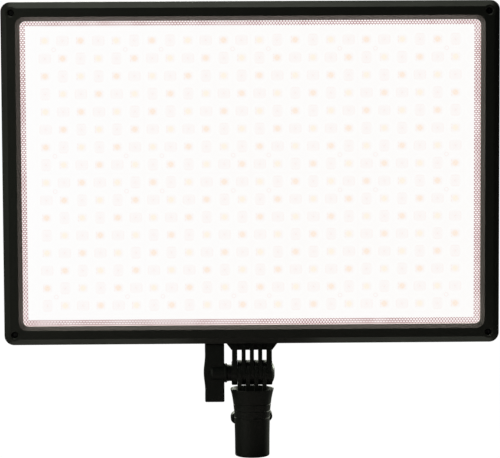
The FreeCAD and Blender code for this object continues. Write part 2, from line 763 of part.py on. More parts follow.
def tine(x0, x1, radius, end_z, end_y):
    return rod_x(x0, x1, 0, TILT_Z, radius).fuse(profile_x(tine_profile(radius, end_z, end_y), x0, x1))


def tilt_bracket():
    parts = []
    for index in (-1, 0, 1):
        x = index * TINE_PITCH
        parts.append(tine(x - HEAD_TINE / 2, x + HEAD_TINE / 2, HUB_R, PANEL_BOTTOM, 4.9))
    for side in (-1, 1):
        ends = sorted((side * CHEEK_IN, side * CHEEK_OUT))
        parts.append(tine(ends[0], ends[1], HUB_R, PANEL_BOTTOM, 4.9))
        face = [(CHEEK_OUT - 0.5, 0), (CHEEK_OUT - 0.5, HUB_R), (KNUCKLE_X - 0.5, HUB_R),
                (KNUCKLE_X, HUB_R - 0.7), (KNUCKLE_X, 0)]
        parts.append(turned_x([(side * x, radius) for x, radius in face], TILT_Z))
    web = [(-WEB_LOW, WEB_Z), (-WEB_HIGH, PANEL_BOTTOM), (-WEB_HIGH, PANEL_BOTTOM + 8.7),
           (WEB_HIGH, PANEL_BOTTOM + 8.7), (WEB_HIGH, PANEL_BOTTOM), (WEB_LOW, WEB_Z)]
    parts.append(profile_y(web, -3.2, 3.2))
    parts.append(box(-WEB_HIGH, WEB_HIGH, -NECK_Y, NECK_Y, PANEL_BOTTOM, PANEL_BOTTOM + 8.7))
    inner = PANEL_BOTTOM + WALL
    parts.append(box(-23, 23, -NECK_Y, 7.0, inner + 0.05, inner + 2.6))
    parts.append(box(-30, 30, PLATE_BACK_Y, PLATE_BACK_Y + 3, inner + 0.05, PANEL_BOTTOM + 36.0))
    shape = joined(parts)
    shape = shape.cut(rod_x(-KNUCKLE_X - 1, KNUCKLE_X + 1, 0, TILT_Z, BOLT_HOLE_R - 0.05))
    for x, z in BRACKET_SCREWS:
        shape = shape.cut(rod_y(x, z, 2.0, PLATE_BACK_Y, PLATE_BACK_Y + 3))
    return shape


def bracket_screws():
    return [rear_screw(x, z, PLATE_BACK_Y + 3, 3.5, 2.4, 1.95, PLATE_Y + 0.1) for x, z in BRACKET_SCREWS]


def tilt_bolt():
    """Dome-headed bolt with a hexagon socket, through all nine tines."""
    profile = [(0.05, 0), (0.05, 6.8), (0.3, 6.8), (0.6, 6.4), (0.9, 5.7), (1.2, 4.8), (1.5, 3.6),
               (1.65, 2.9), (1.65, 0)]
    dome = [(KNUCKLE_X + out, radius) for out, radius in profile]
    shape = turned_x(dome, TILT_Z).fuse(rod_x(-27.0, KNUCKLE_X + 0.1, 0, TILT_Z, BOLT_R))
    hexagon = []
    for index in range(6):
        angle = math.radians(60 * index)
        hexagon.append((2.6 * math.cos(angle), TILT_Z + 2.6 * math.sin(angle)))
    return shape.cut(profile_x(hexagon, KNUCKLE_X + 0.2, KNUCKLE_X + 3))


def tilt_washer():
    ring = rod_x(-17.0, -KNUCKLE_X - 0.05, 0, TILT_Z, 6.1)
    return ring.cut(rod_x(-18, -14, 0, TILT_Z, BOLT_HOLE_R))


def tilt_knob():
    """T-shaped clamping handle: a round neck that ends in a cross bar with a swollen back."""
    neck = [(-17.05, 0), (-17.05, 6.2), (-18.1, 6.2), (-18.35, 6.6), (-18.8, 7.1), (-19.9, 7.1),
            (T_BAR_IN, 6.7), (T_BAR_IN, 6.3), (-29.0, 6.3), (-30.4, 5.6), (-31.2, 4.2), (-31.5, 2.4),
            (-31.5, 0)]
    low = TILT_Z + T_BAR_RISE - T_BAR_HALF
    high = TILT_Z + T_BAR_RISE + T_BAR_HALF
    swell = []
    for step in range(9):
        share = step / 8
        out = T_BAR_BULGE * max(0.0, math.cos(math.pi * (share - 0.5) / 0.56)) ** 2
        swell.append(V(T_BAR_OUT - out, -4.0, low + share * (high - low)))
    back = Part.BSplineCurve()
    back.interpolate(swell)
    edges = [back.toShape(), Part.makeLine(swell[-1], V(T_BAR_IN, -4.0, high))]
    edges.append(Part.makeLine(V(T_BAR_IN, -4.0, high), V(T_BAR_IN, -4.0, low)))
    edges.append(Part.makeLine(V(T_BAR_IN, -4.0, low), swell[0]))
    handle = Part.Face(Part.Wire(edges)).extrude(V(0, 8.0, 0))
    handle = handle.makeFillet(1.0, handle.Edges)
    shape = turned_x(neck, TILT_Z).fuse(handle)
    shape = shape.cut(rod_x(-19, -16, 0, TILT_Z, 4.3))
    shape = shape.cut(rod_x(-29.0, -18.2, 0, TILT_Z, 5.02))
    return shape.cut(rod_x(-30.2, -28.0, 0, TILT_Z, BOLT_R + 0.2))


def tilt_knob_insert():
    return rod_x(-29.0, -18.2, 0, TILT_Z, 5.0).cut(rod_x(-30, -18, 0, TILT_Z, BOLT_R + 0.05))


# ---------------------------------------------------------------- stand socket


def sleeve_radius(z):
    """The sleeve widens slowly up to the waist and then flares in a hollow curve to the rim."""
    if z < WAIST_Z:
        return SOCKET_R + 0.45 * (z / WAIST_Z) ** 2
    share = (z - WAIST_Z) / (RIM_Z - WAIST_Z)
    return SOCKET_R + 0.45 + (RIM_R - SOCKET_R - 0.45) * (0.45 * share + 0.55 * share ** 3)


def stand_adapter():
    outer = [(0, 0), (SOCKET_R - 1.1, 0), (SOCKET_R - 0.4, 0.3), (SOCKET_R, 1.1), (sleeve_radius(15.0), 15.0)]
    for ring_z in RING_Z:
        for z, depth in ((ring_z - 0.25, 0), (ring_z, 0.25), (ring_z + 0.25, 0)):
            outer.append((sleeve_radius(z) - depth, z))
    for drop in (7.0, 4.5, 2.5, 0.5):
        outer.append((sleeve_radius(RIM_Z - drop), RIM_Z - drop))
    outer += [(RIM_R - 0.2, RIM_Z - 0.1), (RIM_R - 0.5, RIM_Z), (RIM_R - 1.0, RIM_Z - 0.1),
              (12.4, CUP_FLOOR_Z + 0.4), (11.4, CUP_FLOOR_Z), (0, CUP_FLOOR_Z)]
    parts = [turned_z(outer)]
    for index in (-1.5, -0.5, 0.5, 1.5):
        x = index * TINE_PITCH
        parts.append(tine(x - STAND_TINE / 2, x + STAND_TINE / 2, STAND_HUB_R, CUP_FLOOR_Z - 0.5, 8.0))
    parts.append(rod_y(0, LOCK_Z, 7.0, 9.0, 17.0))
    shape = joined(parts)
    cuts = [Part.makeCylinder(BORE_R, BORE_DEPTH, V(0, 0, 0), Z_AXIS)]
    cuts.append(rod_x(-KNUCKLE_X, KNUCKLE_X, 0, TILT_Z, BOLT_HOLE_R))
    cuts.append(rod_y(0, LOCK_Z, LOCK_SCREW_R + 0.05, 0, 11.2))
    cuts.append(rod_y(0, LOCK_Z, 4.52, 11.0, 18.0))
    return shape.cut(cuts)


def lock_nut_insert():
    return rod_y(0, LOCK_Z, 4.5, 11.0, 17.0).cut(rod_y(0, LOCK_Z, LOCK_SCREW_R + 0.05, 10, 18))


def lock_pad():
    return turned_y([(8.25, 0), (8.25, 2.6), (8.55, 2.9), (9.75, 2.9), (9.75, 0)], 0, LOCK_Z)


def lock_screw():
    return turned_y([(9.8, 0), (9.8, 2.6), (10.2, LOCK_SCREW_R), (26.0, LOCK_SCREW_R), (26.0, 0)], 0, LOCK_Z)


def lock_knob():
    """Two-winged clamping knob behind the socket."""
    profile = [(18.0, 0), (18.0, 6.0), (18.5, 6.5), (24.0, 6.5), (30.0, 5.6), (31.0, 4.6), (31.0, 0)]
    hub = turned_y(profile, 0, LOCK_Z)
    wing = slab(LOCK_WING, 8.7, 4.34, 22.0, 34.0, 0, LOCK_Z)
    rims = [edge for edge in wing.Edges if abs(edge.tangentAt(edge.FirstParameter).y) < 0.5]
    wing = wing.makeFillet(1.4, rims)
    shape = hub.fuse(wing).cut(rod_y(0, LOCK_Z, LOCK_SCREW_R + 0.02, 17.0, 26.0))
    shape.rotate(V(0, 0, LOCK_Z), Y_AXIS, -LOCK_TURN)
    return shape


# ---------------------------------------------------------------- output


def nodes():
    made = {
        "stand_adapter": stand_adapter(),
        "lock_nut_insert": lock_nut_insert(),
        "lock_pad": lock_pad(),
        "lock_screw": lock_screw(),
        "lock_knob": lock_knob(),
        "tilt_bracket": tilt_bracket(),
        "bracket_screws": bracket_screws(),
        "tilt_bolt": tilt_bolt(),
        "tilt_washer": tilt_washer(),
        "tilt_knob": tilt_knob(),
        "tilt_knob_insert": tilt_knob_insert(),
        "front_bezel": front_bezel(),
        "bezel_screws": bezel_screws(),
        "prism_diffuser": prism_diffuser(),
        "reflector_frame": reflector_frame(),
        "cool_leds": led_group((1, 3)),
        "warm_leds": led_group((0,)),
        "amber_leds": led_group((2,)),
        "led_board_screws": led_board_screws(),
        "back_plate": back_plate(),
        "back_plate_screws": back_plate_screws(),
        "rear_cover": rear_cover(),
        "control_fascia": control_fascia(),
        "display_window": display_window(),
        "display_module": display_module(),
        "control_board": control_board(),
        "control_board_screws": control_board_screws(),
        "board_capacitors": board_capacitors(),
        "board_inductors": board_inductors(),
        "brightness_encoder": encoder(KNOB_X),
        "brightness_shaft": encoder_shaft(KNOB_X),
        "brightness_knob": control_knob(KNOB_X),
        "color_temp_encoder": encoder(-KNOB_X),
        "color_temp_shaft": encoder_shaft(-KNOB_X),
        "color_temp_knob": control_knob(-KNOB_X),
        "mode_button": push_button(BUTTON_X),
        "group_button": push_button(0.0),
        "channel_button": push_button(-BUTTON_X),
        "tact_switches": tact_switches(),
        "power_switch_body": power_switch_body(),
        "power_rocker": power_rocker(),
        "dc_jack": dc_jack(),
        "battery_plate_left": battery_plate(-BATTERY_X),
        "battery_plate_right": battery_plate(BATTERY_X),
        "battery_contacts": battery_contacts(),
        "battery_plate_screws": battery_plate_screws(),
        "battery_latch_left": battery_latch(-BATTERY_X),
        "battery_latch_right": battery_latch(BATTERY_X),
        "latch_spring_left": latch_spring(-BATTERY_X),
        "latch_spring_right": latch_spring(BATTERY_X),
        "led_cable": led_cable(),
        "battery_leads": battery_leads(),
    }
    for number, (cx, cz) in enumerate(board_centres(), 1):
        made["led_board_%d" % number] = led_board(cx, cz)
    return made


os.makedirs("parts", exist_ok=True)
for name, shape in nodes().items():
    if isinstance(shape, list):
        shape = Part.makeCompound(shape)
    shape.exportStep("parts/%s.step" % name)
    print(name, len(shape.Solids), "valid" if shape.isValid() else "INVALID")
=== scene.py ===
"""LED panel light: the looks.  Every length is in metres, in the frame of the CAD model."""

import math

import bmesh
import bpy
from mathutils import Matrix, Vector

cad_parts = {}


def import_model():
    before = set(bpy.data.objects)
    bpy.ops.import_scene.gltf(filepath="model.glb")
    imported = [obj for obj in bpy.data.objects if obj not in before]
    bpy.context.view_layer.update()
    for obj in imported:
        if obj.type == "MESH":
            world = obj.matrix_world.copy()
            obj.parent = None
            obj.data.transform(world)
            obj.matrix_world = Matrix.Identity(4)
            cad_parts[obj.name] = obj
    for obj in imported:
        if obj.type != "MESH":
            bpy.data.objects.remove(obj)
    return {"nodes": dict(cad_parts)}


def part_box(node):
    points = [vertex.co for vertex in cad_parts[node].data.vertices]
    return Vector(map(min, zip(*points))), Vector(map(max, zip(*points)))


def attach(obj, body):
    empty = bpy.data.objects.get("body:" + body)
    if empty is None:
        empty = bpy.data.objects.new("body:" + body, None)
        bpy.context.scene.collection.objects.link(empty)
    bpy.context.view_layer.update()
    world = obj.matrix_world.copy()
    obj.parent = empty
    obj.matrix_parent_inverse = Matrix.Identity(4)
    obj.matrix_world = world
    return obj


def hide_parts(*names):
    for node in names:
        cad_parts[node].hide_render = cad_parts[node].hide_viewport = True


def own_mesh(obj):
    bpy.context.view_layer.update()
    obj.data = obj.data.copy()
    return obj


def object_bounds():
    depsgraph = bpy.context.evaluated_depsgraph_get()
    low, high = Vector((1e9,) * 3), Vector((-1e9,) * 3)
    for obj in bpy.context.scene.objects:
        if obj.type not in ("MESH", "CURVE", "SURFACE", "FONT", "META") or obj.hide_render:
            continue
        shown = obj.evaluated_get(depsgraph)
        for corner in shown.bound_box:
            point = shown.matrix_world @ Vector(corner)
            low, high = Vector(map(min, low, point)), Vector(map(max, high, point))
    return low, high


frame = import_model()
cad_low, cad_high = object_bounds()
MM = 0.001

# Camera: where the eye is, in metres, how it is turned, in degrees, and its lens, in millimetres.
# The rise is above the middle of the panel.
CAMERA_SIDE = -0.0387
CAMERA_BACK = 1.899
CAMERA_RISE = 0.129
CAMERA_YAW = -1.139
CAMERA_PITCH = -5.136
CAMERA_ROLL = 0.271
CAMERA_LENS = 187.2
SENSOR_WIDTH = 36.0
CAMERA_REACH = 100.0

# Studio
STUDIO_TINT = (0.95, 1.0, 0.84)
WORLD_GLOW = 0.02
FLOOR_RADIUS = 30.0
FLOOR_GAP = 0.5 * MM
FLOOR_GLOW = 1.09
FLOOR_GLOW_SHARE = 0.93

# LED grid, as it shows on the face of the prism sheet, with painted pools of light from the LEDs and
# painted shade of the parts behind it.  A board holds 6 columns and 8 rows.
LED_COLUMNS = 24
LED_ROWS = 16
BOARD_COLUMNS = 6
BOARD_ROWS = 8
SPOT_PITCH_X = 12.95 * MM
SPOT_PITCH_Z = 12.86 * MM
SPOT_SIDE = -0.25 * MM
SPOT_RISE = 0.37 * MM
SPOT_CORE = 1.1 * MM
SPOT_REACH = 3.1 * MM
HALO_RADIUS = 5.4 * MM
HALO_WIDTH = 2.6 * MM
HALO_STRENGTH = 0.5
# Strength of the painted shade of chips, packages, board screws and seams behind the sheet
PAINTED_SHADE_STRENGTH = 0.10

# Painted shade of the cool chips behind the sheet.  Cool chips take turns at lying and standing.
# Outlines are half sizes across and up.
CHIP_TURNS = 4.0
FIRST_LYING_COLUMNS = (1.0, 6.0, 5.0, 2.0)
LYING_OUTLINE = (4.6 * MM, 3.7 * MM)
STANDING_OUTLINE = (3.6 * MM, 4.4 * MM)
CHIP_CORNER = 1.8 * MM
CHIP_SOFTNESS = 1.0 * MM
CHIP_END_WIDTH = 1.5 * MM
LYING_END = 4.1 * MM
STANDING_END = 3.9 * MM
CHIP_HEART = 3.6 * MM
CHIP_PIP_REACH = 1.0 * MM
CHIP_PIP_CORE = 0.2 * MM
CHIP_BODY_STRENGTH = 0.42
CHIP_END_STRENGTH = 0.40
CHIP_HEART_STRENGTH = 0.62

# Painted shade of the warm packages behind the sheet
PACKAGE_OUTLINE = (3.3 * MM, 3.0 * MM)
PACKAGE_CORNER = 1.0 * MM
PACKAGE_SOFTNESS = 1.2 * MM
PACKAGE_EDGE = 2.7 * MM
PACKAGE_EDGE_WIDTH = 1.1 * MM
PACKAGE_STRENGTH = 0.42
PACKAGE_RIGHT_STRENGTH = 0.35

# Painted shade of the board screws and seams behind the sheet
SCREW_RING_RADIUS = 1.35 * MM
SCREW_RING_WIDTH = 1.1 * MM
SCREW_RING_STRENGTH = 1.3
SEAM_START = 0.9 * MM
SEAM_END = 0.1 * MM
SEAM_STRENGTH = 0.10

# Prisms, and the part of the sheet that the tray lights fully
PRISM_PITCH_X = 2.10 * MM
PRISM_PITCH_Z = 2.95 * MM
BRIGHT_HALF_X = 162.85 * MM
BRIGHT_HALF_Z = 107.0 * MM
BRIGHT_SIDE = -0.45 * MM
BRIGHT_RISE = 0.45 * MM
DUSK_START = 3.0 * MM
DUSK_END = 4.4 * MM
WARMTH_START = -150.0 * MM
WARMTH_END = 30.0 * MM

# Light that the sheet casts.  It rises with the distance above or below the panel's middle.
SHEET_LIGHT = (1.08, 0.90, 0.84)
SHEET_POWER = 8.0
SHEET_EDGE_GAIN = 1.7
SHEET_GAIN_START = 85.0 * MM
SHEET_GAIN_END = 108.0 * MM

# Rounding of the bezel's edges and shading of curved faces, with angles in degrees
BEZEL_ROUND = 0.35 * MM
WELD_REACH = 0.002 * MM
FLAT_ANGLE = 0.4
EDGE_ANGLE = 30.0
SMOOTH_ANGLE = 31.0

# Marks that are printed or lit
INK = 0.04 * MM
SEGMENTS = {"0": "abcdef", "1": "bc", "5": "acdfg", "6": "acdefg"}
DIGIT_WIDTH = 3.4 * MM
DIGIT_HEIGHT = 6.4 * MM
DIGIT_STEP = 5.2 * MM
STROKE = 0.75 * MM
READOUTS = (("100", 4.2 * MM, -12.0 * MM), ("5600", -4.2 * MM, -9.0 * MM))
GLASS_INSET = 0.5 * MM
BARS = 5
BAR_WIDTH = 0.9 * MM
BAR_SHORTEST = 1.2 * MM
BAR_GROWTH = 0.8 * MM
BAR_SIDE = 15.5 * MM
BAR_STEP = 1.4 * MM
BAR_FOOT = 2.0 * MM
TICKS = 11
TICK_SWEEP = 270.0
TICK_START = 10.3 * MM
TICK_LONG = 1.9 * MM
TICK_SHORT = 1.2 * MM
TICK_WIDTH = 0.35 * MM
DOT_RADIUS = 0.45 * MM
DOT_STEP = 1.5 * MM
DOT_RISE = 5.0 * MM
POINTER_SIZE = (0.94 * MM, 0.26 * MM, 4.5 * MM)
POINTER_DEPTH = 0.55 * MM
POINTER_RISE = 4.2 * MM

# Rocker.  Each half of its face falls 0.9 mm in 4.9 mm towards its end.
ROCKER_PIVOT_DEPTH = 0.8 * MM
ROCKER_TILT = -8.0
ROCKER_SLOPE = math.atan2(0.9, 4.9)
ROCKER_SIGN_HEIGHT = 2.55 * MM
ROCKER_SIGN_REACH = 5.3 * MM
LINE_SIGN = (0.5 * MM, INK, 3.0 * MM)
RING_RADIUS = 1.3 * MM
RING_PIECE = (0.46 * MM, INK, 0.40 * MM)
RING_PIECES = 20

# Latch springs
COIL_RADIUS = 1.0 * MM
COIL_WIRE = 0.19 * MM
COIL_TURNS = 7
COIL_STEPS = 20
COIL_SIDES = 8


def lows_and_highs(node):
    low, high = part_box(node)
    return Vector(low), Vector(high)


def middle_of(node):
    low, high = lows_and_highs(node)
    return (low + high) / 2


def tint(*channels):
    """A display colour, with channels from 10 to 255, as linear light."""
    return tuple(((channel / 255 + 0.055) / 1.055) ** 2.4 for channel in channels)


def scaled(colour, factor, lift=0.0):
    return tuple(min(1.0, factor * channel + lift) for channel in colour)


# Tones of the lit sheet
SHEET_WHITE = tint(253, 252.5, 252.2)
SHEET_WARM_WHITE = tint(252.6, 251.2, 249.8)
HALO_TONE = tint(254, 254, 253)
# Painted shade of chips, packages, board screws and seams behind the sheet
PAINTED_SHADE_TONE = tint(240, 158, 138)
WARM_SPOT_TONE = tint(254, 244, 227)
PEACH_SPOT_TONE = tint(253, 234, 217)
RIM_SHADE = tint(166, 108, 112)
RIM_PEAK = tint(255, 250, 249)
RIM_DUSK = tint(180, 145, 140)

panel_centre = middle_of("front_bezel")
fascia_face = lows_and_highs("control_fascia")[1].y


# ---------------------------------------------------------------- shader helper


class Shader:
    """One node material.  Every input takes a number, a colour or another node's socket."""

    def __init__(self, name):
        self.material = bpy.data.materials.new(name)
        self.material.use_nodes = True
        self.tree = self.material.node_tree
        self.tree.nodes.clear()
        self.output = self.tree.nodes.new("ShaderNodeOutputMaterial")
        self.place = self.add("TexCoord").outputs["Object"]

    def put(self, socket, value):
        if isinstance(value, bpy.types.NodeSocket):
            self.tree.links.new(value, socket)
        elif hasattr(value, "__len__") and len(value) == 3 and socket.type == "RGBA":
            socket.default_value = (*value, 1.0)
        else:
            socket.default_value = value

    def add(self, kind, settings=(), inputs=()):
        node = self.tree.nodes.new("ShaderNode" + kind)
        for key, value in dict(settings).items():
            setattr(node, key, value)
        for key, value in dict(inputs).items():
            self.put(node.inputs[key], value)
        return node

    def math(self, operation, *values):
        node = self.add("Math", {"operation": operation})
        for socket, value in zip(node.inputs, values):
            self.put(socket, value)
        return node.outputs[0]

    def plus(self, total, *values):
        for value in values:
            total = self.math("ADD", total, value)
        return total

    def times(self, total, *values):
        for value in values:
            total = self.math("MULTIPLY", total, value)
        return total

    def minus(self, first, second):
        return self.math("SUBTRACT", first, second)

    def over(self, first, second):
        return self.math("DIVIDE", first, second)

    def size(self, value):
        return self.math("ABSOLUTE", value)

    def equals(self, value, wanted):
        """One where value, a whole number, is the one wanted."""
        return self.math("COMPARE", value, wanted, 0.25)

    def wave(self, value, period):
        """Zero at each whole period and a half midway between them."""
        return self.math("PINGPONG", self.over(value, period), 0.5)

    def length(self, first, second):
        return self.math("SQRT", self.plus(self.times(first, first), self.times(second, second)))

    def blend(self, factor, first, second):
        node = self.add("Mix", {"data_type": "RGBA"})
        self.put(node.inputs[0], factor)
        self.put(node.inputs[6], first)
        self.put(node.inputs[7], second)
        return node.outputs[2]

    def ramp(self, value, start, end, low=0.0, high=1.0, smooth=True):
        """Low before start, high after end, and a clean rise between them."""
        kind = "SMOOTHSTEP" if smooth else "LINEAR"
        node = self.add("MapRange", {"interpolation_type": kind})
        for index, entry in enumerate((value, start, end, low, high)):
            self.put(node.inputs[index], entry)
        return node.outputs[0]

    def band(self, value, middle, width):
        """One at middle, falling to zero half a width on either side."""
        return self.ramp(self.size(self.minus(value, middle)), width / 2, 0.0)

    def rounded(self, off_x, off_z, outline, corner, softness):
        """One inside a rounded rectangle, whose half sizes are its outline."""
        past_x = self.math("MAXIMUM", self.minus(self.size(off_x), outline[0] - corner), 0.0)
        past_z = self.math("MAXIMUM", self.minus(self.size(off_z), outline[1] - corner), 0.0)
        return self.ramp(self.length(past_x, past_z), corner + softness / 2, corner - softness / 2)

    def noise(self, size, detail=2.0, stretch=(1.0, 1.0, 1.0)):
        """Noise whose features are about size metres across."""
        grid = self.add("Mapping", {}, {"Vector": self.place, "Scale": stretch}).outputs[0]
        inputs = {"Vector": grid, "Scale": 1.0 / size, "Detail": detail}
        return self.add("TexNoise", {}, inputs).outputs[0]

    def across_and_up(self):
        node = self.add("SeparateXYZ", {}, {"Vector": self.place})
        return node.outputs["X"], node.outputs["Z"]

    def bump(self, height, distance, strength=1.0, normal=None):
        node = self.add("Bump", {}, {"Height": height, "Distance": distance, "Strength": strength})
        if normal is not None:
            self.put(node.inputs["Normal"], normal)
        return node.outputs[0]

    def edges(self, radius):
        """One on sharp outer and inner edges, zero on flat faces."""
        soft = self.add("Bevel", {"samples": 4}, {"Radius": radius}).outputs[0]
        plain = self.add("NewGeometry").outputs["Normal"]
        node = self.add("VectorMath", {"operation": "DOT_PRODUCT"})
        self.put(node.inputs[0], soft)
        self.put(node.inputs[1], plain)
        return self.ramp(node.outputs["Value"], 0.995, 0.90)

    def seen_by_camera(self):
        return self.add("LightPath").outputs["Is Camera Ray"]

    def surface(self, **inputs):
        """Finishes the material with a Principled shader."""
        names = {key.replace("_", " "): value for key, value in inputs.items()}
        node = self.add("BsdfPrincipled", {}, names)
        self.tree.links.new(node.outputs[0], self.output.inputs[0])
        return self.material


# ---------------------------------------------------------------- materials


def satin_plastic(name, colour, roughness, grain=0.30 * MM, depth=0.02 * MM, wear=0.5, coat=0.0):
    """Moulded plastic with a spark-eroded grain, faint clouding, dust and rubbed edges."""
    s = Shader(name)
    cloud = s.noise(35 * MM, 3.0)
    fine = s.noise(grain)
    dust = s.ramp(s.noise(0.9 * MM, 0.0), 0.78, 0.82)
    rubbed = s.times(s.edges(0.4 * MM), s.ramp(s.noise(9 * MM, 4.0), 0.35, 0.75, 0.15, wear))
    tone = s.blend(s.ramp(cloud, 0.3, 0.7, 0.0, 0.5), colour, scaled(colour, 0.6))
    tone = s.blend(rubbed, tone, scaled(colour, 2.2, 0.004))
    tone = s.blend(s.times(dust, 0.12), tone, (0.10, 0.10, 0.09))
    rough = s.plus(s.ramp(cloud, 0.25, 0.75, roughness - 0.04, roughness + 0.05),
                   s.ramp(fine, 0.3, 0.7, -0.04, 0.06))
    rough = s.minus(rough, s.times(rubbed, 0.10))
    normal = s.bump(s.noise(18 * MM, 1.0), 0.05 * MM, 0.25, s.bump(fine, depth))
    return s.surface(Base_Color=tone, Roughness=rough, Normal=normal, Specular_IOR_Level=0.40,
                     Coat_Weight=coat, Coat_Roughness=0.28)


def gloss_plastic(name, colour, roughness=0.18):
    """Polished plastic: faint orange peel, hairline scratches and finger haze."""
    s = Shader(name)
    peel = s.noise(2.2 * MM, 1.0)
    haze = s.noise(14 * MM, 4.0)
    scratch = s.noise(0.6 * MM, 2.0, (1.0, 1.0, 0.06))
    rough = s.plus(s.ramp(haze, 0.35, 0.7, roughness, roughness + 0.14),
                   s.ramp(scratch, 0.62, 0.72, 0.0, 0.15))
    tone = s.blend(s.ramp(haze, 0.4, 0.75, 0.0, 0.25), colour, scaled(colour, 1.6, 0.003))
    return s.surface(Base_Color=tone, Roughness=rough, Normal=s.bump(peel, 0.02 * MM, 0.5))


def metal(name, colour, roughness, brush=(1.0, 1.0, 1.0), stain=0.15):
    """Plated or drawn metal: brushed grain, uneven tarnish and bright worn edges."""
    s = Shader(name)
    grain = s.noise(0.25 * MM, 3.0, brush)
    tarnish = s.noise(7 * MM, 5.0)
    tone = s.blend(s.ramp(tarnish, 0.35, 0.72), colour, scaled(colour, (1.0 - stain) ** 3))
    tone = s.blend(s.times(s.edges(0.3 * MM), 0.45), tone, scaled(colour, 1.25, 0.05))
    rough = s.plus(s.ramp(tarnish, 0.3, 0.7, roughness - 0.05, roughness + 0.10),
                   s.ramp(grain, 0.3, 0.7, -0.05, 0.08))
    normal = s.bump(grain, 0.01 * MM, 0.6)
    return s.surface(Base_Color=tone, Metallic=1.0, Roughness=rough, Normal=normal)


def led_board_mask():
    """White solder mask with faint copper tracks under it."""
    s = Shader("board_white")
    _, z = s.across_and_up()
    track = s.ramp(s.wave(z, SPOT_PITCH_Z), 0.40, 0.43)
    tone = s.blend(s.times(track, 0.35), (0.86, 0.86, 0.84), (0.70, 0.70, 0.66))
    tone = s.blend(s.ramp(s.noise(20 * MM, 3.0), 0.4, 0.7, 0.0, 0.2), tone, (0.80, 0.79, 0.74))
    height = s.plus(track, s.times(s.noise(0.5 * MM), 0.1))
    return s.surface(Base_Color=tone, Roughness=0.45, Normal=s.bump(height, 0.03 * MM))


def green_board():
    """Green solder mask over glass fibre, with tracks and round vias."""
    s = Shader("board_green")
    x, z = s.across_and_up()
    lines = s.wave(s.plus(x, z), 2.54 * MM)
    track = s.times(s.ramp(lines, 0.36, 0.40), s.ramp(s.noise(6 * MM), 0.48, 0.52))
    spread = {"Vector": s.place, "Scale": 220.0, "Randomness": 0.6}
    cells = s.add("TexVoronoi", {"feature": "F1"}, spread)
    via = s.ramp(cells.outputs["Distance"], 0.16, 0.12)
    tone = s.blend(track, (0.010, 0.110, 0.045), (0.025, 0.200, 0.080))
    tone = s.blend(via, tone, (0.62, 0.52, 0.30))
    weave = s.noise(0.4 * MM, 1.0, (1.0, 1.0, 3.0))
    height = s.plus(track, s.times(weave, 0.2))
    return s.surface(Base_Color=tone, Roughness=0.32, Normal=s.bump(height, 0.03 * MM))


def reflector_white():
    """Matt white moulding, a little yellowed in places."""
    s = Shader("reflector_white")
    tone = s.blend(s.ramp(s.noise(25 * MM, 3.0), 0.35, 0.7), (0.90, 0.90, 0.89), (0.82, 0.81, 0.78))
    return s.surface(Base_Color=tone, Roughness=0.6, Normal=s.bump(s.noise(0.4 * MM), 0.02 * MM))


def phosphor(name, colour, glow):
    """LED package: mottled phosphor that glows."""
    s = Shader(name)
    mottled = s.blend(s.noise(0.3 * MM), colour, scaled(colour, 0.8))
    return s.surface(Base_Color=mottled, Roughness=0.3, Emission_Color=glow, Emission_Strength=1.5,
                     Normal=s.bump(s.noise(0.5 * MM), 0.02 * MM))


def sleeve(name, colour):
    """Soft wire insulation with faint scuffs."""
    s = Shader(name)
    scuff = s.noise(3 * MM, 4.0)
    tone = s.blend(s.ramp(scuff, 0.4, 0.7), colour, scaled(colour, 0.7))
    return s.surface(Base_Color=tone, Roughness=s.ramp(scuff, 0.3, 0.7, 0.4, 0.6),
                     Normal=s.bump(scuff, 0.05 * MM))


def smoked_window():
    """Clear smoked acrylic over the display."""
    s = Shader("window_smoked")
    rough = s.ramp(s.noise(10 * MM, 4.0), 0.4, 0.75, 0.03, 0.12)
    smoke = (0.42, 0.45, 0.46)
    return s.surface(Base_Color=smoke, Roughness=rough, IOR=1.49, Transmission_Weight=1.0)


def display_glass():
    """Dark liquid crystal with a faint cell grid."""
    s = Shader("display_glass")
    x, z = s.across_and_up()
    cell = 0.6 * MM
    grid = s.math("MAXIMUM", s.ramp(s.wave(x, cell), 0.44, 0.48), s.ramp(s.wave(z, cell), 0.44, 0.48))
    tone = s.blend(s.times(grid, 0.5), (0.020, 0.030, 0.034), (0.008, 0.012, 0.014))
    return s.surface(Base_Color=tone, Roughness=0.2, Normal=s.bump(grid, 0.01 * MM))


def glowing(name, colour, strength):
    """Lit segments, slightly uneven."""
    s = Shader(name)
    spread = s.ramp(s.noise(1.5 * MM), 0.3, 0.7, 0.85 * strength, strength)
    return s.surface(Base_Color=(0.01, 0.01, 0.01), Emission_Color=colour, Emission_Strength=spread)


def paint(name, colour):
    """Pad-printed ink, slightly broken up."""
    s = Shader(name)
    broken = s.ramp(s.noise(0.4 * MM, 3.0), 0.45, 0.7, 0.0, 0.4)
    tone = s.blend(broken, colour, scaled(colour, 0.6))
    return s.surface(Base_Color=tone, Roughness=0.55, Normal=s.bump(s.noise(0.2 * MM), 0.01 * MM))


# ---------------------------------------------------------------- the glowing sheet


def within(s, count, half):
    """One between the first and the last of a row or column of cells, zero past them."""
    fade = 0.02
    return s.ramp(s.size(s.minus(count, half)), half + fade, half - fade)


class Cell:
    """The LED cell at a place on the sheet."""

    def __init__(self, s, x, z):
        half_columns = LED_COLUMNS / 2
        half_rows = LED_ROWS / 2
        height = s.minus(z, panel_centre.z + SPOT_RISE)
        self.across = s.plus(s.over(s.minus(x, SPOT_SIDE), SPOT_PITCH_X), half_columns)
        self.down = s.minus(half_rows, s.over(height, SPOT_PITCH_Z))
        self.column = s.math("FLOOR", self.across)
        self.row = s.math("FLOOR", self.down)
        self.off_x = s.times(s.minus(s.minus(self.across, self.column), 0.5), SPOT_PITCH_X)
        self.off_z = s.times(s.minus(0.5, s.minus(self.down, self.row)), SPOT_PITCH_Z)
        self.reach = s.length(self.off_x, self.off_z)
        self.order = s.math("FLOORED_MODULO", s.plus(self.column, self.row), 4.0)
        self.inside = s.times(within(s, self.across, half_columns), within(s, self.down, half_rows))


